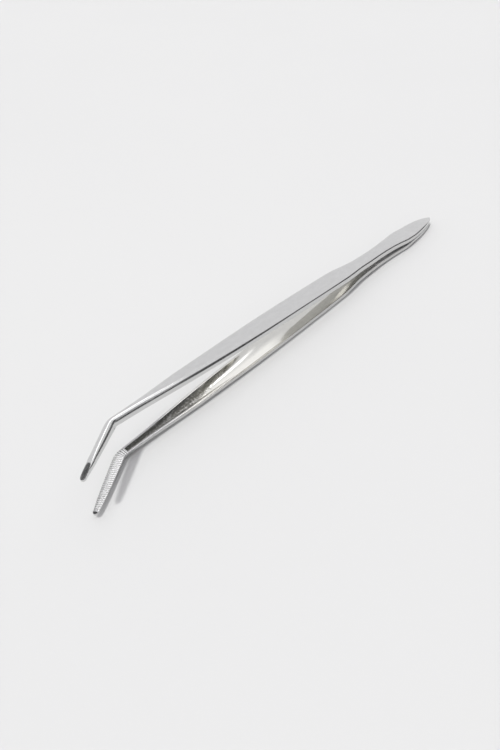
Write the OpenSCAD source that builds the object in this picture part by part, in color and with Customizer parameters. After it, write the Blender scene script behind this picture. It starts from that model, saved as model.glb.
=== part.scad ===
// Angled tweezers for planting in an aquarium.
// Two pressed spring-steel arms, welded together at the leaf-shaped butt, with bent and serrated jaws.
// Millimetres. +X runs towards the jaws, +Z is up, +Y is the side that the jaws bend to.
// The tool lies on the outer face of its lower arm, and the origin is the middle of the patch it lies on.

/* [Overall] */
// Length of the tool from the butt end to the jaw tips
tool_length = 270; // [230:5:300]
// Gap between the two jaw tips with the arms relaxed
tip_gap = 18.6; // [16:0.2:22]
// Angle of the jaws to the arms, in degrees
bend_angle = 33; // [20:1:45]
// Length of each jaw, from the bend to its tip
jaw_length = 25.5; // [22:0.5:34]

/* [Widths] */
// Widest part of the leaf-shaped butt
leaf_width = 12.3; // [10:0.1:13]
// Narrowest part of the spring neck
neck_width = 8.4; // [7:0.2:9]
// Widest part of the arm, where the fingers press
body_width = 11.6; // [10:0.2:13]
// Width of the arm where it bends into the jaw
bend_width = 3.6; // [3:0.2:4.6]
// Width of the jaw near its tip
tip_width = 2.2; // [1.6:0.1:2.4]

/* [Thicknesses] */
// Thickness of each leaf where the two are welded
leaf_thick = 2.6; // [2.2:0.1:2.8]
// Thickness of each arm in the spring neck
neck_thick = 2.9; // [2.4:0.1:3.1]
// Depth of each arm from its inner face to its outer face at the middle
body_thick = 2.9; // [2.6:0.1:3.1]
// Depth of each arm at the bend
bend_thick = 3.1; // [2.6:0.1:3.3]
// Thickness of each jaw at its tip
tip_thick = 0.9; // [0.7:0.1:1.2]
// Thickness of the weld metal between the two leaves
weld_thick = 0.3; // [0.2:0.05:0.4]
// Depth of the hollow pressed into the inner face of each arm
hollow_depth = 2; // [0.8:0.1:2.1]

/* [Serration] */
// Distance from one tooth of the jaw to the next
tooth_pitch = 0.9; // [0.8:0.1:1.4]
// Depth of the grooves between the teeth
tooth_depth = 0.3; // [0.2:0.05:0.4]

/* [Hidden] */

// Places along the arm, as distances from the butt end.
leaf_widest = 0.137 * tool_length;
weld_end = 0.1 * tool_length;
neck_start = 0.163 * tool_length;
neck_narrowest = 0.24 * tool_length;
shoulder_start = 0.31 * tool_length;
neck_end = 0.37 * tool_length;
body_widest = 0.46 * tool_length;
taper_middle = 0.755 * tool_length;
bend_radius = 6;
bend_arc = bend_radius * bend_angle * PI / 180;
bend_start = tool_length - jaw_length * cos(bend_angle) - bend_radius * sin(bend_angle);
jaw_start = bend_start + bend_arc;
path_end = jaw_start + jaw_length;
facet_start = path_end - 8.3;
arm_end = bend_start - 0.9;
nose_length = 1.1;
notch_length = 6;
notch_gap = 1.2;
butt_lift = 0.3;
// The flat patch that the tool lies on.
rest_from = 0.4 * tool_length;
rest_to = 0.56 * tool_length;

// A smooth curve through points [x, value] sorted by x.
function slope(p, i) = let(a = max(i - 1, 0), b = min(i + 1, len(p) - 1)) (p[b][1] - p[a][1]) / (p[b][0] - p[a][0]);
function span(p, x) = max([for (i = [0 : len(p) - 2]) if (i == 0 || x >= p[i][0]) i]);
function hermite(p, i, t, d) =
    (1 + 2 * t) * pow(1 - t, 2) * p[i][1] + t * pow(1 - t, 2) * d * slope(p, i)
    + t * t * (3 - 2 * t) * p[i + 1][1] - t * t * (1 - t) * d * slope(p, i + 1);
function curve(p, x) =
    let(i = span(p, x), d = p[i + 1][0] - p[i][0]) hermite(p, i, min(max((x - p[i][0]) / d, 0), 1), d);

// Half-widths of the inner face. The leaf is an ogive that runs into the neck.
widths = [
    [leaf_widest, leaf_width / 2], [0.187 * tool_length, 0.775 * leaf_width / 2],
    [neck_narrowest, neck_width / 2], [0.274 * tool_length, 1.02 * neck_width / 2],
    [shoulder_start, 1.05 * neck_width / 2], [0.345 * tool_length, 0.9 * body_width / 2],
    [neck_end, 0.985 * body_width / 2], [body_widest, body_width / 2], [0.62 * tool_length, 0.94 * body_width / 2],
    [taper_middle, 0.73 * body_width / 2], [0.86 * tool_length, 0.68 * bend_width],
    [bend_start, 0.55 * bend_width], [jaw_start + 1, 0.59 * bend_width],
    [facet_start, 0.45 * bend_width], [path_end - nose_length, tip_width / 2],
];
function leaf_half(s) = leaf_width / 2 * pow(1 - pow(1 - max(s, 0.12) / leaf_widest, 2), 0.6);
function nose_half(s) = tip_width / 2 * sqrt(max(1 - pow((s - path_end + nose_length) / nose_length, 2), 0.06));
function half_width(s) =
    s < leaf_widest ? leaf_half(s) : s > path_end - nose_length ? nose_half(s) : curve(widths, s);

// Depth from the inner face to the outer face.
depths = [
    [0, 0.6 * leaf_thick], [0.045 * tool_length, 0.96 * leaf_thick], [weld_end, leaf_thick],
    [0.2 * tool_length, neck_thick], [0.35 * tool_length, neck_thick + 0.05],
    [rest_from, body_thick], [rest_to, body_thick],
    [bend_start, bend_thick], [jaw_start, 0.95 * bend_thick], [facet_start, 0.66 * bend_thick],
];
function depth(s) =
    s < notch_length ? curve(depths, s) - half_gap(s) + weld_thick / 2
    : s <= facet_start ? curve(depths, s)
    : tip_thick + (0.52 * bend_thick - tip_thick) * (path_end - s) / (path_end - facet_start);

// Height of the inner face above the middle plane of the tool. The relaxed arms bow slightly outwards.
// The outer face of the arm runs straight over the resting patch, which keeps the butt just off the table.
lifted_half = weld_thick / 2 + leaf_thick - butt_lift;
rest_slope = (0.273 * tip_gap + body_thick - lifted_half) / rest_to;
gaps = [
    [weld_end, weld_thick / 2], [leaf_widest, 0.04 * tip_gap], [0.187 * tool_length, 0.062 * tip_gap],
    [0.274 * tool_length, 0.078 * tip_gap], [0.33 * tool_length, 0.118 * tip_gap], [neck_end, 0.165 * tip_gap],
    [rest_from, rest_slope * rest_from + lifted_half - body_thick],
    [rest_to, rest_slope * rest_to + lifted_half - body_thick], [0.74 * tool_length, 0.362 * tip_gap],
    [bend_start, 0.443 * tip_gap], [path_end, 0.5 * tip_gap],
];
function half_gap(s) =
    s < notch_length ? weld_thick / 2 + (notch_gap - weld_thick) / 2 * pow(1 - s / notch_length, 2)
    : s < weld_end ? weld_thick / 2 : curve(gaps, s);

// Rounding of the outer corners, across the arm and through its depth, as shares of half-width and depth.
rounding = [
    [0, 0.2], [leaf_widest, 0.24], [neck_narrowest, 0.3], [neck_end, 0.24], [0.52 * tool_length, 0.24],
    [0.61 * tool_length, 0.32], [0.685 * tool_length, 0.45], [0.74 * tool_length, 0.52], [0.8 * tool_length, 0.5],
    [0.86 * tool_length, 0.8], [bend_start, 0.97], [jaw_start + 9, 0.95], [facet_start, 0.65],
];
function round_across(s) = s <= facet_start ? curve(rounding, s) : 0.3;
function round_deep(s) = s <= facet_start ? min(0.85, 0.25 + 0.75 * curve(rounding, s)) : 0.3;

// The hollow of the inner face deepens along the arm and ends in a step at the teeth.
hollow_from = 0.52 * tool_length;
hollow_to = arm_end - 0.4;
hollows = [
    [hollow_from, 0.04], [0.58 * tool_length, 0.12], [0.66 * tool_length, 0.42], [0.72 * tool_length, 0.62],
    [0.79 * tool_length, 0.95], [hollow_to, 0.85],
];
rim = 0.95;
function hollow_half(s) = half_width(s) - min(rim, 0.4 * half_width(s));

// Plan of the middle line: straight, round the bend, and straight again. Gives [x, y, heading].
function plan(s) =
    s <= bend_start ? [s, 0, 0]
    : s <= jaw_start ? let(a = (s - bend_start) / bend_radius * 180 / PI)
        [bend_start + bend_radius * sin(a), bend_radius * (1 - cos(a)), a]
    : let(d = s - jaw_start)
        [bend_start + bend_radius * sin(bend_angle) + d * cos(bend_angle),
         bend_radius * (1 - cos(bend_angle)) + d * sin(bend_angle), bend_angle];

// Cross-sections as [across, outward] points: of the metal, and of the tool that presses the hollow.
CORNER_STEPS = 5;
HOLLOW_STEPS = 8;
function metal(s) =
    let(w = half_width(s), t = depth(s), ry = w * round_across(s), rz = t * round_deep(s))
    concat(
        [[w, 0], [-w, 0]],
        [for (i = [0 : CORNER_STEPS]) let(a = 90 * i / CORNER_STEPS) [-(w - ry + ry * cos(a)), t - rz + rz * sin(a)]],
        [for (i = [CORNER_STEPS : -1 : 0]) let(a = 90 * i / CORNER_STEPS) [w - ry + ry * cos(a), t - rz + rz * sin(a)]]
    );
function press(s) =
    let(w = hollow_half(s), h = hollow_depth * curve(hollows, s))
    concat(
        [[w, -0.5], [-w, -0.5]],
        [for (i = [0 : HOLLOW_STEPS]) let(a = 180 * i / HOLLOW_STEPS) [-w * cos(a), h * pow(sin(a), 2)]]
    );

// A closed skin over cross-sections set square to the middle line at the given places.
module skin(places, sections) {
    n = len(sections[0]);
    last = (len(places) - 1) * n;
    polyhedron(
        points = [for (j = [0 : len(places) - 1]) let(p = plan(places[j]), z = half_gap(places[j])) each
            [for (q = sections[j]) [p[0] - q[0] * sin(p[2]), p[1] + q[0] * cos(p[2]), z + q[1]]]],
        faces = concat(
            [[for (i = [n - 1 : -1 : 0]) i]],
            [for (j = [0 : len(places) - 2], i = [0 : n - 1]) let(a = j * n + i, b = j * n + (i + 1) % n) each
                [[a, b, a + n], [b, b + n, a + n]]],
            [[for (i = [0 : n - 1]) last + i]]
        ),
        convexity = 6
    );
}
module metal_skin(places) { skin(places, [for (s = places) metal(s)]); }
function even(from, to, count) = [for (i = [0 : count]) from + (to - from) * i / count];

module leaf() {
    color("silver") metal_skin(concat(
        [for (i = [0 : 4]) notch_length * pow(i / 5, 2)],
        even(notch_length, neck_start, 12)
    ));
}

module neck() {
    color("silver") metal_skin(even(neck_start, neck_end, 12));
}

module arm() {
    stops = even(hollow_from, hollow_to, 14);
    color("silver") difference() {
        metal_skin(concat(even(neck_end, rest_from, 3), even(rest_to, arm_end, 16)));
        skin(stops, [for (s = stops) press(s)]);
    }
}

module jaw() {
    nose_start = path_end - nose_length;
    teeth = floor((nose_start - arm_end) / tooth_pitch);
    half_groove = 0.34 * tooth_pitch;
    color("gainsboro") difference() {
        metal_skin(concat(
            even(arm_end, jaw_start, 5), even(jaw_start + 3, facet_start, 5),
            even(facet_start + 1, nose_start, 3), even(nose_start + 0.3, path_end, 3)
        ));
        for (i = [0 : teeth - 1]) {
            s = arm_end + (i + 0.5) * tooth_pitch;
            translate([plan(s)[0], plan(s)[1], half_gap(s)]) rotate([90, 0, plan(s)[2]])
                linear_extrude(2 * bend_width, center = true)
                    polygon([[-half_groove, -0.02], [half_groove, -0.02], [0, tooth_depth]]);
        }
    }
}

// The weld fills the seam between the two leaves, up to the notch at the butt end.
module butt_weld() {
    stops = [for (i = [0 : 16]) notch_length + (weld_end - notch_length) * i / 16];
    inset = 0.12;
    color("lightgray") translate([0, 0, -weld_thick / 2]) linear_extrude(weld_thick) polygon(concat(
        [for (s = stops) [s, half_width(s) - inset]],
        [for (i = [len(stops) - 1 : -1 : 0]) [stops[i], inset - half_width(stops[i])]]
    ));
}

// Lays the tool on the flat patch of its lower arm, with the origin in the middle of that patch.
function outer(s) = half_gap(s) + depth(s);
tilt = atan((outer(rest_to) - outer(rest_from)) / (rest_to - rest_from));
module laid() {
    rotate([0, -tilt, 0])
        translate([-(rest_from + rest_to) / 2, 0, (outer(rest_from) + outer(rest_to)) / 2]) children();
}
module upper() { laid() children(); }
module lower() { laid() mirror([0, 0, 1]) children(); }

upper() leaf();  // upper_leaf
lower() leaf();  // lower_leaf
laid() butt_weld();
upper() neck();  // upper_neck
lower() neck();  // lower_neck
upper() arm();  // upper_arm
lower() arm();  // lower_arm
upper() jaw();  // upper_jaw
lower() jaw();  // lower_jaw
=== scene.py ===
import math

import bpy
import numpy as np
from mathutils import Matrix, Vector


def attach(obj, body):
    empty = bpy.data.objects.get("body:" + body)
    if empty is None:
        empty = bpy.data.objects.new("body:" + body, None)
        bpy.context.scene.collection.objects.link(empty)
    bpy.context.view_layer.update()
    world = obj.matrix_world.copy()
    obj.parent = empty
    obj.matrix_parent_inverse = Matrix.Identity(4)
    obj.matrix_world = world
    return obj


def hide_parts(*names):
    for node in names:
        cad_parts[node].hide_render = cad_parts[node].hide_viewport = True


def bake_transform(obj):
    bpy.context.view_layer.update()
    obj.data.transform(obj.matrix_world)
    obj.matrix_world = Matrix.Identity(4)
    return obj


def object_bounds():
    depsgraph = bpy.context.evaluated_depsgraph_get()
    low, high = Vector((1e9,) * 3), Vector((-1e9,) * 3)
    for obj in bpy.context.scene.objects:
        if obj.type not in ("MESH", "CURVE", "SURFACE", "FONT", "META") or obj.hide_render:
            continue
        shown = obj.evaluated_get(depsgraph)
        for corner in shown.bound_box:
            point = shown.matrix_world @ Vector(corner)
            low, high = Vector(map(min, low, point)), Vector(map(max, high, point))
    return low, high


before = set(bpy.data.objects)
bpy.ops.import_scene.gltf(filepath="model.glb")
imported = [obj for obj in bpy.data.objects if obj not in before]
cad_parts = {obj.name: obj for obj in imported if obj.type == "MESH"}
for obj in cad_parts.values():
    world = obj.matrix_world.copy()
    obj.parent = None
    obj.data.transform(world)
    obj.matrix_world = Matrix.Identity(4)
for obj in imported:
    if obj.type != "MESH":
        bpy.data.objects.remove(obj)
cad_low, cad_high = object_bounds()

MM = 0.001  # metres

# --------------------------------------------------------------------------------------------
# The tool's driving sizes, in millimetres, as in the CAD source. Places along the tool, called s
# below, are distances from the butt end along its middle line, before it's laid down.
# --------------------------------------------------------------------------------------------
LENGTH = 270.0
TIP_GAP = 18.6
BEND = math.radians(33.0)
JAW = 25.5
# Widths across the tool, depths from the inner face to the outer one, and the seam's thickness.
LEAF_W, NECK_W, BODY_W, BEND_W, TIP_W = 12.3, 8.4, 11.6, 3.6, 2.2
LEAF_T, NECK_T, BODY_T, BEND_T, TIP_T = 2.6, 2.9, 2.9, 3.1, 0.9
WELD_T = 0.3
# The hollow pressed into each arm's inner face: its depth, and the flat rim on each side of it.
HOLLOW, RIM_W = 2.0, 0.95
# The teeth: distance between two, depth of a groove, and its half-width as a share of the distance.
PITCH, TOOTH, GROOVE = 0.9, 0.3, 0.34

LEAF_WIDEST, WELD_END, NECK_END = 0.137 * LENGTH, 0.1 * LENGTH, 0.37 * LENGTH
BEND_R = 6.0
BEND_START = LENGTH - JAW * math.cos(BEND) - BEND_R * math.sin(BEND)
JAW_START = BEND_START + BEND_R * BEND
PATH_END = JAW_START + JAW
FACET_START = PATH_END - 8.3
ARM_END = BEND_START - 0.9
# The rounded nose of each tip, and the open notch between the two leaves at the butt end.
NOSE = 1.1
NOTCH, NOTCH_GAP, BUTT_LIFT = 6.0, 1.2, 0.3
# The straight stretch of the arm that the tool lies on.
REST_FROM, REST_TO = 0.4 * LENGTH, 0.56 * LENGTH


def curve(points, x):
    """A smooth curve through [x, value] points, the same as the CAD source's."""
    px = np.array([p[0] for p in points], float)
    py = np.array([p[1] for p in points], float)
    n = len(px)
    low, high = np.maximum(np.arange(n) - 1, 0), np.minimum(np.arange(n) + 1, n - 1)
    m = (py[high] - py[low]) / (px[high] - px[low])
    i = np.clip(np.searchsorted(px, x, side="right") - 1, 0, n - 2)
    d = px[i + 1] - px[i]
    t = np.clip((x - px[i]) / d, 0, 1)
    return (
        (1 + 2 * t) * (1 - t) ** 2 * py[i]
        + t * (1 - t) ** 2 * d * m[i]
        + t * t * (3 - 2 * t) * py[i + 1]
        - t * t * (1 - t) * d * m[i + 1]
    )


# Each list below holds [place along the tool, value there] points for curve().
# Half-width, from the widest place of the leaf to the nose.
WIDTHS = [
    (LEAF_WIDEST, LEAF_W / 2), (0.187 * LENGTH, 0.775 * LEAF_W / 2),
    (0.24 * LENGTH, NECK_W / 2), (0.274 * LENGTH, 1.02 * NECK_W / 2),
    (0.31 * LENGTH, 1.05 * NECK_W / 2), (0.345 * LENGTH, 0.9 * BODY_W / 2),
    (NECK_END, 0.985 * BODY_W / 2), (0.46 * LENGTH, BODY_W / 2), (0.62 * LENGTH, 0.94 * BODY_W / 2),
    (0.755 * LENGTH, 0.73 * BODY_W / 2), (0.86 * LENGTH, 0.68 * BEND_W),
    (BEND_START, 0.55 * BEND_W), (JAW_START + 1, 0.59 * BEND_W),
    (FACET_START, 0.45 * BEND_W), (PATH_END - NOSE, TIP_W / 2),
]
# Depth from the inner face to the outer one.
DEPTHS = [
    (0, 0.6 * LEAF_T), (0.045 * LENGTH, 0.96 * LEAF_T), (WELD_END, LEAF_T),
    (0.2 * LENGTH, NECK_T), (0.35 * LENGTH, NECK_T + 0.05),
    (REST_FROM, BODY_T), (REST_TO, BODY_T),
    (BEND_START, BEND_T), (JAW_START, 0.95 * BEND_T), (FACET_START, 0.66 * BEND_T),
]
# Half the gap between the arms, which bow slightly outwards. The outer face of the arm runs straight
# over the resting stretch, which keeps the butt just off the table.
LIFTED = WELD_T / 2 + LEAF_T - BUTT_LIFT
REST_SLOPE = (0.273 * TIP_GAP + BODY_T - LIFTED) / REST_TO
GAPS = [
    (WELD_END, WELD_T / 2), (LEAF_WIDEST, 0.04 * TIP_GAP), (0.187 * LENGTH, 0.062 * TIP_GAP),
    (0.274 * LENGTH, 0.078 * TIP_GAP), (0.33 * LENGTH, 0.118 * TIP_GAP), (NECK_END, 0.165 * TIP_GAP),
    (REST_FROM, REST_SLOPE * REST_FROM + LIFTED - BODY_T),
    (REST_TO, REST_SLOPE * REST_TO + LIFTED - BODY_T), (0.74 * LENGTH, 0.362 * TIP_GAP),
    (BEND_START, 0.443 * TIP_GAP), (PATH_END, 0.5 * TIP_GAP),
]
# Rounding of the outer corners, as a share of the half-width.
ROUNDING = [
    (0, 0.2), (LEAF_WIDEST, 0.24), (0.24 * LENGTH, 0.3), (NECK_END, 0.24), (0.52 * LENGTH, 0.24),
    (0.61 * LENGTH, 0.32), (0.685 * LENGTH, 0.45), (0.74 * LENGTH, 0.52), (0.8 * LENGTH, 0.5),
    (0.86 * LENGTH, 0.8), (BEND_START, 0.97), (JAW_START + 9, 0.95), (FACET_START, 0.65),
]
# Depth of the hollow, as a share of its full depth. It ends in a step at the teeth.
HOLLOW_FROM, HOLLOW_TO = 0.52 * LENGTH, ARM_END - 0.4
HOLLOWS = [
    (HOLLOW_FROM, 0.0), (0.58 * LENGTH, 0.12), (0.66 * LENGTH, 0.42), (0.72 * LENGTH, 0.62),
    (0.79 * LENGTH, 0.95), (HOLLOW_TO, 0.85),
]
# The skins are a touch slimmer than the CAD solids, whose curves are made of flats.
SLIM, SLIM_NOSE = 0.996, 0.97
# The leaf's outline swells by a power, and it and the nose end in a small flat.
LEAF_POWER, LEAF_FLAT, NOSE_FLAT = 0.6, 0.12, 0.06


def half_width(s):
    """An oval swell for the leaf, the widths of the arm, and a round nose."""
    from_widest = 1 - np.clip(s, LEAF_FLAT, LEAF_WIDEST) / LEAF_WIDEST
    leaf = LEAF_W / 2 * (1 - from_widest ** 2) ** LEAF_POWER
    into_nose = (s - PATH_END + NOSE) / NOSE
    nose = SLIM_NOSE * TIP_W / 2 * np.sqrt(np.maximum(1 - into_nose ** 2, NOSE_FLAT))
    tool = np.where(s < LEAF_WIDEST, leaf, np.where(s > PATH_END - NOSE, nose, curve(WIDTHS, s)))
    return SLIM * tool


def half_gap(s):
    """Height of the inner face above the tool's middle plane: notch, weld seam and open arms."""
    notch = WELD_T / 2 + (NOTCH_GAP - WELD_T) / 2 * (1 - np.clip(s / NOTCH, 0, 1)) ** 2
    resting = REST_SLOPE * s + LIFTED - curve(DEPTHS, s)
    arm = np.where((s > REST_FROM) & (s < REST_TO), resting, curve(GAPS, s))
    return np.where(s < NOTCH, notch, np.where(s < WELD_END, WELD_T / 2, arm))


# The tip's depth where its facet starts, and the depth that the facet is cut from.
FACET_T = 0.66 * BEND_T
TIP_BLANK_T = 0.92 * FACET_T


def depth(s):
    """Depth of the strip before its facet is cut. The notch takes its share from the leaf."""
    full = curve(DEPTHS, s)
    open_leaf = full - half_gap(s) + WELD_T / 2
    return np.where(s < NOTCH, open_leaf, np.where(s <= FACET_START, full, TIP_BLANK_T))


def plan(s):
    """The middle line's place and heading: straight, round the bend, and straight again."""
    a = np.clip((s - BEND_START) / BEND_R, 0, BEND)
    d = np.maximum(s - JAW_START, 0)
    x = np.where(s < BEND_START, s, BEND_START + BEND_R * np.sin(a) + d * math.cos(BEND))
    y = BEND_R * (1 - np.cos(a)) + d * math.sin(BEND)
    return x, np.where(s < BEND_START, 0.0, y), a


TILT = math.atan(REST_SLOPE)
MIDDLE = (REST_FROM + REST_TO) / 2
OUTER_MIDDLE = REST_SLOPE * MIDDLE + LIFTED


def laid(x, y, z):
    """From the tool's own lines, in millimetres, to where it lies in the frame, in metres."""
    u, w = x - MIDDLE, z + OUTER_MIDDLE
    c, n = math.cos(TILT), math.sin(TILT)
    return np.stack([c * u - n * w, y + 0 * u, n * u + c * w], -1) * MM


# --------------------------------------------------------------------------------------------
# Meshes. Each strip is one skin of cross-sections. A cross-section is a list of [across, outward]
# points that starts at the middle of the inner face and runs round by the +across side.
# --------------------------------------------------------------------------------------------
TEETH = int((PATH_END - NOSE - ARM_END) // PITCH)
TOOTH_STEPS = [0.0, 0.16, 0.33, 0.5, 0.67, 0.84]  # cross-sections in each tooth, as shares of it
HOLLOW_STEP = 0.7  # length of the step that ends the hollow
EDGE = 0.22  # largest rounding of the edge round the inner face
TRIM = 0.04  # the last cross-section stays this far inside the tip
# Points of half a cross-section, in order, as degrees or as shares of a stretch: over the hollow and
# its rim, round the edge, up the side, round the outer corner, and over the back.
HOLLOW_ANGLES = [90, 83, 76, 70, 64, 58, 52, 46, 40, 34, 28, 22, 16, 10, 4]
RIM_POINTS = [0.0, 0.25, 0.6, 1.0]
EDGE_ANGLES = [22, 45, 68, 90]
WALL_POINTS = [0.04, 0.1, 0.2, 0.5, 0.96]
CORNER_POINTS = 15
BACK_POINTS = [0.06, 0.3, 0.65, 1.0]
# Numbers of points before the rim, before the side and before the outer corner.
INNER = len(HOLLOW_ANGLES)
RIM = INNER + len(RIM_POINTS) + len(EDGE_ANGLES)
CORNER = RIM + len(WALL_POINTS)
SHARP = math.radians(32)  # faces that meet at more than this have a hard edge
# Material slots of a strip.
OUTER_STEEL, HOLLOW_STEEL, TOOTH_STEEL = 0, 1, 2


def smooth(x, a, b):
    """Goes softly from 0 at a to 1 at b."""
    t = np.clip((x - a) / (b - a), 0, 1)
    return t * t * (3 - 2 * t)


def hollow(s):
    """Depth of the hollow at its middle."""
    end = 1 - smooth(s, HOLLOW_TO - HOLLOW_STEP, HOLLOW_TO)
    return HOLLOW * np.clip(curve(HOLLOWS, s), 0, None) * (s > HOLLOW_FROM) * end


def groove(s):
    """Depth of the V-grooves between the teeth of the jaw."""
    k = (s - ARM_END) / PITCH
    near = np.abs(k - np.floor(k) - 0.5) * PITCH
    return TOOTH * np.clip(1 - near / (GROOVE * PITCH), 0, 1) * ((k > 0) & (k < TEETH))


def stations():
    """The places of the cross-sections: close together at the notch, the teeth and the nose."""
    toothed = [ARM_END + PITCH * (i + f) for i in range(TEETH) for f in TOOTH_STEPS]
    parts = [
        NOTCH * np.linspace(0.02, 1, 26) ** 2,
        np.linspace(NOTCH, NECK_END, 150),
        np.linspace(NECK_END, HOLLOW_TO - HOLLOW_STEP, 210),
        np.linspace(HOLLOW_TO - HOLLOW_STEP, ARM_END - 0.02, 14),
        np.array(toothed),
        np.linspace(ARM_END + PITCH * TEETH, PATH_END - NOSE, 4),
        PATH_END - NOSE + (NOSE - TRIM) * np.sin(np.linspace(0.1, 0.5 * math.pi, 9)),
    ]
    return np.unique(np.round(np.concatenate(parts), 4))


def section(s):
    """Half of each cross-section, from the middle of the inner face to the middle of the outer one."""
    w, h, t = half_width(s), hollow(s), depth(s)
    # ry, rz: size of the outer corner across the strip and through its depth
    ry = w * curve(ROUNDING, s)
    rz = t * np.minimum(0.85, 0.25 + 0.75 * curve(ROUNDING, s))
    # e: radius of the inner edge, hw: half-width of the hollow
    e = np.minimum(EDGE, np.minimum(0.14 * t, 0.2 * w))
    hw = w - np.minimum(RIM_W, 0.4 * w)
    cols = []
    for a in np.radians(HOLLOW_ANGLES):
        cols.append((hw * math.cos(a), h * math.sin(a) ** 2))
    for f in RIM_POINTS:
        cols.append((hw + (w - e - hw) * f + 0.01, 0 * s))
    for a in np.radians(EDGE_ANGLES):
        cols.append((w - e + e * math.sin(a), e - e * math.cos(a)))
    for f in WALL_POINTS:
        cols.append((w, e + (t - rz - e) * f))
    for a in np.radians(np.linspace(0, 90, CORNER_POINTS)):
        cols.append((w - ry + ry * math.cos(a), t - rz + rz * math.sin(a)))
    for f in BACK_POINTS:
        cols.append(((w - ry) * (1 - f), t))
    y = np.stack([c[0] + 0 * s for c in cols], -1)
    z = np.stack([c[1] + 0 * s for c in cols], -1)
    facet = FACET_T + (TIP_T - FACET_T) * (s - FACET_START) / (PATH_END - FACET_START)
    z = np.where((s > FACET_START)[:, None], np.minimum(z, facet[:, None]), z)
    return y, np.maximum(z, groove(s)[:, None])


def both_halves(half, sign=1):
    """Adds the mirrored half of every cross-section, without its two points on the middle line."""
    return np.concatenate([half, sign * half[:, -2:0:-1]], 1)


def skin_faces(s, n, side):
    """The quads between cross-sections of n points, the two end caps, and each face's material slot."""
    faces, kinds = [], []
    for j in range(len(s) - 1):
        toothed = ARM_END <= (s[j] + s[j + 1]) / 2 <= PATH_END - NOSE
        for i in range(n):
            a, b = j * n + i, j * n + (i + 1) % n
            faces.append((a, b, b + n, a + n))
            inner = min(i, n - 1 - i) < RIM - 1
            kinds.append(OUTER_STEEL if not inner else TOOTH_STEEL if toothed else HOLLOW_STEEL)
    faces += [tuple(range(n))[::-1], tuple(range((len(s) - 1) * n, len(s) * n))]
    kinds += [OUTER_STEEL, OUTER_STEEL]
    return [f if side > 0 else f[::-1] for f in faces], kinds


def surface_marks(s, y, z):
    """Values at each point that the materials read: from 0 to 1, and share from -1 to 1."""
    # wear: most along the inner edge and over the outer corner, some on the rim and the side
    wear = np.zeros((len(s), CORNER + CORNER_POINTS + len(BACK_POINTS)))
    wear[:, INNER:CORNER] = 0.55
    wear[:, RIM - 5:RIM + 3] = 1.0
    wear[:, CORNER:CORNER + CORNER_POINTS] = np.sin(np.linspace(0, math.pi, CORNER_POINTS)) ** 0.5
    # deep: inside the hollow, off its rim
    deep = np.clip(z / np.maximum(hollow(s), 0.3)[:, None] * 3, 0, 1)
    deep[:, INNER:-(INNER - 1)] = 0
    # share: place across the strip, as a share of its half-width
    share = y / half_width(s)[:, None]
    # dull: where the polish doesn't reach, at the narrow end of the hollow
    dull = deep * smooth(s[:, None] - 0.09 * LENGTH * share, 0.69 * LENGTH, 0.79 * LENGTH)
    # painted reflection: the near wall of the wide end of the hollow, painted near white
    painted_reflection = smooth(share, -0.3, 0.35) * smooth(s, 0.53 * LENGTH, 0.6 * LENGTH)[:, None]
    painted_reflection *= 1 - smooth(s, 0.755 * LENGTH, 0.79 * LENGTH)[:, None]
    # cut: depth in the grooves, along: place along the tool
    return {
        "wear": both_halves(wear),
        "cut": np.repeat(groove(s) / TOOTH, y.shape[1]),
        "dull": dull,
        "painted_reflection": painted_reflection,
        "share": share,
        "along": np.repeat(s / LENGTH, y.shape[1]),
    }


def smooth_mesh(name, points, faces):
    mesh = bpy.data.meshes.new(name)
    mesh.from_pydata(points.tolist(), [], faces)
    mesh.polygons.foreach_set("use_smooth", [True] * len(faces))
    return mesh


def add_object(mesh):
    obj = bpy.data.objects.new(mesh.name, mesh)
    bpy.context.scene.collection.objects.link(obj)
    return obj


def strip(name, side):
    """One arm in one piece: side is 1 for the upper arm and -1 for the lower one."""
    s = stations()
    y, z = section(s)
    y, z = both_halves(y, -1), both_halves(z)
    x0, y0, turn = plan(s)
    across = y0[:, None] + y * np.cos(turn)[:, None]
    points = laid(x0[:, None] - y * np.sin(turn)[:, None], across, side * (half_gap(s)[:, None] + z))
    faces, kinds = skin_faces(s, y.shape[1], side)
    mesh = smooth_mesh(name, points.reshape(-1, 3), faces)
    mesh.polygons.foreach_set("material_index", kinds)
    for label, values in surface_marks(s, y, z).items():
        layer = mesh.attributes.new(label, "FLOAT", "POINT")
        layer.data.foreach_set("value", np.ravel(values).astype(np.float32))
    mesh.update()
    mesh.validate()
    mesh.set_sharp_from_angle(angle=SHARP)
    return add_object(mesh)


def weld_bead():
    """Dressed weld metal in the seam between the leaves: a flat oval bar with a rippled edge."""
    rows, cols = 150, 24
    inset, ripple, ripple_pitch, narrowing = 0.16, 0.03, 1.1, 2.0
    s = np.linspace(NOTCH * 0.8, WELD_END, rows)
    w = half_width(s) - inset + ripple * np.sin(s * 2 * math.pi / ripple_pitch)
    w = w * (0.55 + 0.45 * smooth(s, WELD_END, WELD_END - narrowing))
    turns = np.arange(cols) * 2 * math.pi / cols
    c, n = np.cos(turns), np.sin(turns)
    across = w[:, None] * np.copysign(np.abs(c) ** 0.25, c)
    up = WELD_T * 0.62 * np.copysign(np.abs(n) ** 0.8, n) + 0 * w[:, None]
    points = laid(s[:, None] + 0 * across, across, up)
    faces = [
        (j * cols + k, j * cols + (k + 1) % cols, (j + 1) * cols + (k + 1) % cols, (j + 1) * cols + k)
        for j in range(rows - 1) for k in range(cols)
    ]
    faces += [tuple(range(cols))[::-1], tuple(range((rows - 1) * cols, rows * cols))]
    mesh = smooth_mesh("weld_bead", points.reshape(-1, 3), faces)
    mesh.update()
    mesh.validate()
    return add_object(mesh)


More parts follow.
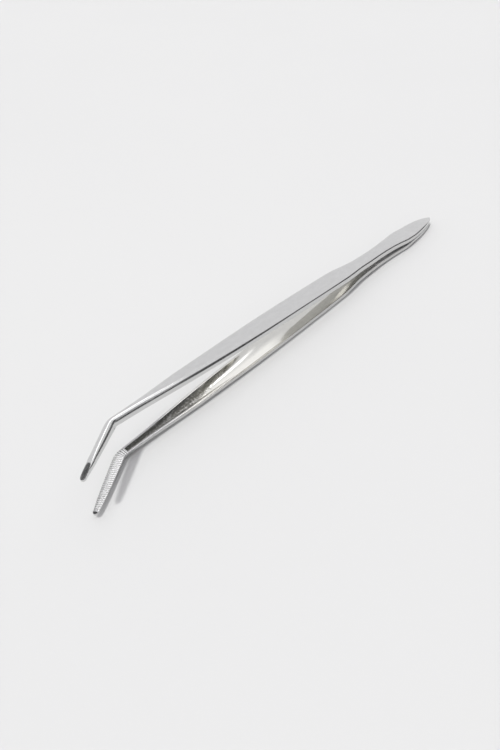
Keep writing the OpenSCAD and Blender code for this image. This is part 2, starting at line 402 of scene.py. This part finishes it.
# --------------------------------------------------------------------------------------------
# Materials
# --------------------------------------------------------------------------------------------
class Tree:
    """A small helper for building a node material."""

    def __init__(self, name):
        self.material = bpy.data.materials.new(name)
        self.material.use_nodes = True
        self.tree = self.material.node_tree
        self.tree.nodes.clear()
        out = self.add("ShaderNodeOutputMaterial")
        self.shader = self.add("ShaderNodeBsdfPrincipled")
        self.link(self.shader.outputs[0], out.inputs[0])

    def add(self, kind, **values):
        node = self.tree.nodes.new(kind)
        for key, value in values.items():
            setattr(node, key, value)
        return node

    def link(self, a, b):
        self.tree.links.new(a, b)

    def coords(self, scale):
        """Places on the object, times scale, which is in turns of noise for each metre."""
        at = self.add("ShaderNodeTexCoord")
        mapping = self.add("ShaderNodeMapping")
        mapping.inputs["Scale"].default_value = scale
        self.link(at.outputs["Object"], mapping.inputs["Vector"])
        return mapping.outputs[0]

    def noise(self, scale, detail=3.0, rough=0.55):
        node = self.add("ShaderNodeTexNoise")
        node.inputs["Scale"].default_value = 1.0
        node.inputs["Detail"].default_value = detail
        node.inputs["Roughness"].default_value = rough
        self.link(self.coords(scale), node.inputs["Vector"])
        return node.outputs["Fac"]

    def ramp(self, fac, stops):
        """Two colours, and a fade from one to the other between their places."""
        node = self.add("ShaderNodeValToRGB")
        for element, (at, colour) in zip(node.color_ramp.elements, stops):
            element.position = at
            element.color = (*colour, 1)
        self.link(fac, node.inputs[0])
        return node.outputs[0]

    def spread(self, value, low, high, to_low, to_high):
        """Maps low to to_low and high to to_high, and holds the value outside of them."""
        node = self.add("ShaderNodeMapRange")
        for key, v in zip(("From Min", "From Max", "To Min", "To Max"), (low, high, to_low, to_high)):
            node.inputs[key].default_value = v
        self.link(value, node.inputs["Value"])
        return node.outputs[0]

    def attribute(self, name):
        return self.add("ShaderNodeAttribute", attribute_name=name).outputs["Fac"]

    def blend(self, amount, a, colour):
        """Goes from a, at amount 0, to the colour, at amount 1."""
        node = self.add("ShaderNodeMix", data_type="RGBA")
        self.link(amount, node.inputs[0])
        self.link(a, node.inputs[6])
        if isinstance(colour, tuple):
            node.inputs[7].default_value = (*colour, 1)
        else:
            self.link(colour, node.inputs[7])
        return node.outputs[2]

    def math(self, kind, a, b):
        node = self.add("ShaderNodeMath", operation=kind)
        for socket, v in zip(node.inputs, (a, b)):
            if isinstance(v, (int, float)):
                socket.default_value = v
            else:
                self.link(v, socket)
        return node.outputs[0]

    def bump(self, height, distance, normal=None):
        node = self.add("ShaderNodeBump")
        node.inputs["Strength"].default_value = 1.0
        node.inputs["Distance"].default_value = distance
        self.link(height, node.inputs["Height"])
        if normal is not None:
            self.link(normal, node.inputs["Normal"])
        return node.outputs[0]


# Colours of the steel. The near wall of the hollow is painted near white, a painted reflection of the
# lit room, and the forged skin that the polish doesn't reach is brown at first and then dark grey. The
# narrow end of the hollow, the far side of the teeth and the groove floors carry painted shade, and the
# grey near the weld is a painted dim reflection.
PAINTED_WALL_REFLECTION = (0.98, 0.97, 0.92)
HOLLOW_END_PAINTED_SHADE = (0.45, 0.45, 0.45)
SKIN = [(0.68, (0.4, 0.395, 0.34)), (0.77, (0.19, 0.188, 0.175))]
WELD_SIDE_PAINTED_REFLECTION = (0.5, 0.5, 0.5)
FAR_TEETH_PAINTED_SHADE = (0.62, 0.62, 0.62)
GROOVE_PAINTED_SHADE = (0.12, 0.12, 0.12)


def hollow_skin_and_painted_light(t, tone, value):
    """The inner face: a painted reflection on the near wall, ragged forged skin with light specks,
    painted shade at the narrow end, and a grey, rougher painted dim reflection near the weld.
    """
    patches = t.spread(t.noise((600, 1100, 1100), 3.0), 0.3, 0.7, -0.4, 0.4)
    ragged = t.math("ADD", t.attribute("dull"), patches)
    dull = t.spread(ragged, 0.25, 0.85, 0.0, 1.0)
    specks = t.spread(t.noise((1100, 1100, 1100), 1.0), 0.56, 0.66, 1.0, 0.3)
    along = t.attribute("along")
    # Painted reflection: the near wall of the wide end of the hollow is painted near white.
    tone = t.blend(t.attribute("painted_reflection"), tone, PAINTED_WALL_REFLECTION)
    # Painted shade: from 0.79 to 0.83 of the length, the inner face is painted darker grey towards the
    # narrow end of the hollow.
    tone = t.blend(t.spread(along, 0.79, 0.83, 0.0, 1.0), tone, HOLLOW_END_PAINTED_SHADE)
    tone = t.blend(t.math("MULTIPLY", dull, specks), tone, t.ramp(along, SKIN))
    value = t.math("ADD", value, t.math("MULTIPLY", dull, 0.3))
    # Painted dim reflection: near the weld the inner face is painted grey, rougher and part diffuse,
    # standing in for the dim light between the leaves.
    weld_side_painted_reflection = t.spread(along, 0.34, 0.2, 0.0, 1.0)
    tone = t.blend(weld_side_painted_reflection, tone, WELD_SIDE_PAINTED_REFLECTION)
    value = t.math("ADD", value, t.math("MULTIPLY", weld_side_painted_reflection, 0.28))
    t.link(t.spread(weld_side_painted_reflection, 0.0, 1.0, 1.0, 0.6), t.shader.inputs["Metallic"])
    return tone, value


def teeth_painted_shade_and_roughness(t, tone, value):
    """The teeth: painted shade, greyer towards the far side, and painted shade, dark, down in the
    grooves, which are also rougher.
    """
    cut = t.attribute("cut")
    # Painted shade: the far side of the teeth is painted greyer.
    tone = t.blend(t.spread(t.attribute("share"), -0.1, -0.6, 0.0, 1.0), tone, FAR_TEETH_PAINTED_SHADE)
    # Painted shade: the floors of the grooves are painted dark.
    tone = t.blend(t.math("POWER", cut, 1.4), tone, GROOVE_PAINTED_SHADE)
    return tone, t.math("ADD", value, t.math("MULTIPLY", cut, 0.25))


def steel(name, colour, rough, line_bump, wave_bump, marks_and_painted_light=None):
    """Polished steel: lengthwise polishing lines, faint waves and scratches, and rougher edges."""
    t = Tree(name)
    t.shader.inputs["Metallic"].default_value = 1.0
    lines = t.noise((60, 5200, 5200), 2.0)
    waves = t.noise((70, 160, 160), 1.5, 0.4)
    cloud = t.noise((260, 520, 520), 4.0)
    scratch = t.spread(t.noise((700, 9000, 9000), 1.0), 0.66, 0.74, 0.0, 1.0)
    tone = t.ramp(cloud, [(0.3, [c * 0.95 for c in colour]), (0.7, colour)])
    value = t.spread(cloud, 0.3, 0.7, rough - 0.02, rough + 0.03)
    value = t.math("ADD", value, t.math("MULTIPLY", t.attribute("wear"), 0.06))
    value = t.math("ADD", value, t.math("MULTIPLY", scratch, 0.12))
    if marks_and_painted_light:
        tone, value = marks_and_painted_light(t, tone, value)
    t.link(tone, t.shader.inputs["Base Color"])
    t.link(value, t.shader.inputs["Roughness"])
    normal = t.bump(waves, wave_bump)
    t.link(t.bump(lines, line_bump, normal), t.shader.inputs["Normal"])
    return t.material


def board_material():
    """Pale, nearly even, matt board."""
    t = Tree("pale_board")
    grain = t.noise((900, 900, 900), 3.0)
    clouds = t.noise((3, 3, 3), 2.0)
    tone = t.ramp(clouds, [(0.3, (0.59, 0.59, 0.592)), (0.7, (0.597, 0.597, 0.598))])
    t.link(tone, t.shader.inputs["Base Color"])
    t.shader.inputs["Roughness"].default_value = 0.9
    t.shader.inputs["Specular IOR Level"].default_value = 0.1
    t.link(t.bump(grain, 0.00002), t.shader.inputs["Normal"])
    return t.material


# Colour, roughness, height of the polishing lines and of the waves in metres, and the extra colours and
# roughness: forged skin and painted light.
outer_steel = steel("polished_steel_outer", (0.66, 0.66, 0.657), 0.13, 1.2e-6, 2e-5)
hollow_steel = steel("polished_steel_hollow", (0.66, 0.655, 0.63), 0.09, 8e-7, 3e-5, hollow_skin_and_painted_light)
# Painted sheen: the teeth's steel is painted far lighter than the arms', 0.96 against 0.66.
tooth_steel = steel("teeth_steel_painted_sheen", (0.96, 0.96, 0.96), 0.22, 1.5e-6, 2e-5, teeth_painted_shade_and_roughness)
bead_steel = steel("dressed_weld_steel", (0.55, 0.55, 0.56), 0.3, 4e-6, 4e-5)

upper = strip("upper_strip", 1)
lower = strip("lower_strip", -1)
for obj in (upper, lower):
    for material in (outer_steel, hollow_steel, tooth_steel):
        obj.data.materials.append(material)
    weigh = obj.modifiers.new("weighted", "WEIGHTED_NORMAL")
    weigh.keep_sharp = True
    weigh.weight = 60
bead = weld_bead()
bead.data.materials.append(bead_steel)

# --------------------------------------------------------------------------------------------
# Riding the bodies: the strips take the place of the hidden CAD arm parts, and the weld bead rides the
# butt.
# --------------------------------------------------------------------------------------------
for obj, name in ((upper, "upper"), (lower, "lower")):
    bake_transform(obj)
    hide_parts(*[name + "_" + part for part in ("leaf", "neck", "arm", "jaw")])
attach(bead, "butt")
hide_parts("butt_weld")

# --------------------------------------------------------------------------------------------
# Floor, light and camera
# --------------------------------------------------------------------------------------------
FLOOR_REACH, FLOOR_GAP = 6.0, 0.00002
floor_mesh = bpy.data.meshes.new("floor")
corners = [(FLOOR_REACH * i, FLOOR_REACH * j, 0) for i, j in ((-1, -1), (1, -1), (1, 1), (-1, 1))]
floor_mesh.from_pydata(corners, [], [(0, 1, 2, 3)])
floor = add_object(floor_mesh)
floor.data.materials.append(board_material())
floor.location.z = cad_low.z - FLOOR_GAP


def towards(azimuth, elevation):
    """The direction of a place in the sky, in degrees."""
    a, e = math.radians(azimuth), math.radians(elevation)
    return Vector((math.cos(a) * math.cos(e), math.sin(a) * math.cos(e), math.sin(e)))


# The camera looks along azimuth 225, so azimuth 135 is on its right.
ROOM = 0.9
ROOM_TINT = (0.992, 0.988, 1.004)
# Soft boxes and dark flags: azimuth, elevation, inner and outer radius in degrees, brightness.
PATCHES = [
    (136, 31, 14, 19, 0.07),  # flags on the right, for the dark bands along the arms' near sides
    (154, 17, 16, 20, 0.1),
    (113, 8, 15, 22, 0.08),
    (147, 66, 7, 10, 2.2),  # soft box high on the right
    (259, 58, 6, 9, 0.08),  # flag high on the far side
    (226, 57, 6.5, 9.5, 3.0),  # soft box high, straight ahead
    (158, 4, 9, 14, 0.1),  # flag close to the floor, on the right
]

world = bpy.data.worlds.new("studio")
world.use_nodes = True
bpy.context.scene.world = world
wt = world.node_tree
wt.nodes.clear()


def wnode(kind, **values):
    node = wt.nodes.new(kind)
    for key, value in values.items():
        setattr(node, key, value)
    return node


def patch(level, azimuth, elevation, inner, outer, value):
    """Blends the room's brightness to value inside a round patch of sky."""
    dot = wnode("ShaderNodeVectorMath", operation="DOT_PRODUCT")
    wt.links.new(ray, dot.inputs[0])
    dot.inputs[1].default_value = towards(azimuth, elevation)
    amount = wnode("ShaderNodeMapRange", interpolation_type="SMOOTHSTEP")
    amount.inputs["From Min"].default_value = math.cos(math.radians(outer))
    amount.inputs["From Max"].default_value = math.cos(math.radians(inner))
    wt.links.new(dot.outputs["Value"], amount.inputs["Value"])
    mix = wnode("ShaderNodeMix", data_type="FLOAT")
    wt.links.new(amount.outputs[0], mix.inputs["Factor"])
    if isinstance(level, float):
        mix.inputs["A"].default_value = level
    else:
        wt.links.new(level, mix.inputs["A"])
    mix.inputs["B"].default_value = value
    return mix.outputs["Result"]


background = wnode("ShaderNodeBackground")
wt.links.new(background.outputs[0], wnode("ShaderNodeOutputWorld").inputs[0])
ray = wnode("ShaderNodeTexCoord").outputs["Generated"]
brightness = ROOM
for values in PATCHES:
    brightness = patch(brightness, *values)
# The soft boxes and flags show in reflections only: looked at directly, the room is plain.
plain = wnode("ShaderNodeMix", data_type="FLOAT")
wt.links.new(wnode("ShaderNodeLightPath").outputs["Is Camera Ray"], plain.inputs["Factor"])
wt.links.new(brightness, plain.inputs["A"])
plain.inputs["B"].default_value = ROOM
tint = wnode("ShaderNodeVectorMath", operation="SCALE")
tint.inputs[0].default_value = ROOM_TINT
wt.links.new(plain.outputs["Result"], tint.inputs["Scale"])
wt.links.new(tint.outputs[0], background.inputs["Color"])
background.inputs["Strength"].default_value = 1.0

# The key light stands high, towards the jaw end.
KEY_AZIMUTH, KEY_ELEVATION = -4, 69.4
key = bpy.data.lights.new("key", "SUN")
key.energy = 1.85
key.angle = math.radians(4.5)
key.color = (1.0, 1.0, 0.98)
key_light = bpy.data.objects.new("key", key)
key_light.rotation_mode = "QUATERNION"
key_light.rotation_quaternion = towards(KEY_AZIMUTH, KEY_ELEVATION).to_track_quat("Z", "Y")
bpy.context.scene.collection.objects.link(key_light)

# The photo's camera: its direction and roll in degrees, its distance from a point on the floor
# that it looks at, and its lens.
VIEW_AZIMUTH, VIEW_DOWN, VIEW_ROLL = 224.846, 42.585, -4.081
LOOK_AT, DISTANCE = Vector((0.04824, 0.00675, 0)), 0.24667
SENSOR, LENS, NEAREST = 36, 25.72, 0.01

forward = towards(VIEW_AZIMUTH, -VIEW_DOWN)
level_right = towards(VIEW_AZIMUTH - 90, 0)
level_up = level_right.cross(forward)
roll = math.radians(VIEW_ROLL)
right = level_right * math.cos(roll) + level_up * math.sin(roll)
upward = level_up * math.cos(roll) - level_right * math.sin(roll)
camera = bpy.data.objects.new("camera", bpy.data.cameras.new("camera"))
bpy.context.scene.collection.objects.link(camera)
camera.data.sensor_width = SENSOR
camera.data.lens = LENS
camera.data.clip_start = NEAREST
camera.rotation_mode = "QUATERNION"
camera.rotation_quaternion = Matrix((right, upward, -forward)).transposed().to_quaternion()
camera.location = LOOK_AT - forward * DISTANCE
bpy.context.scene.camera = camera
bpy.context.scene.view_settings.view_transform = "Standard"
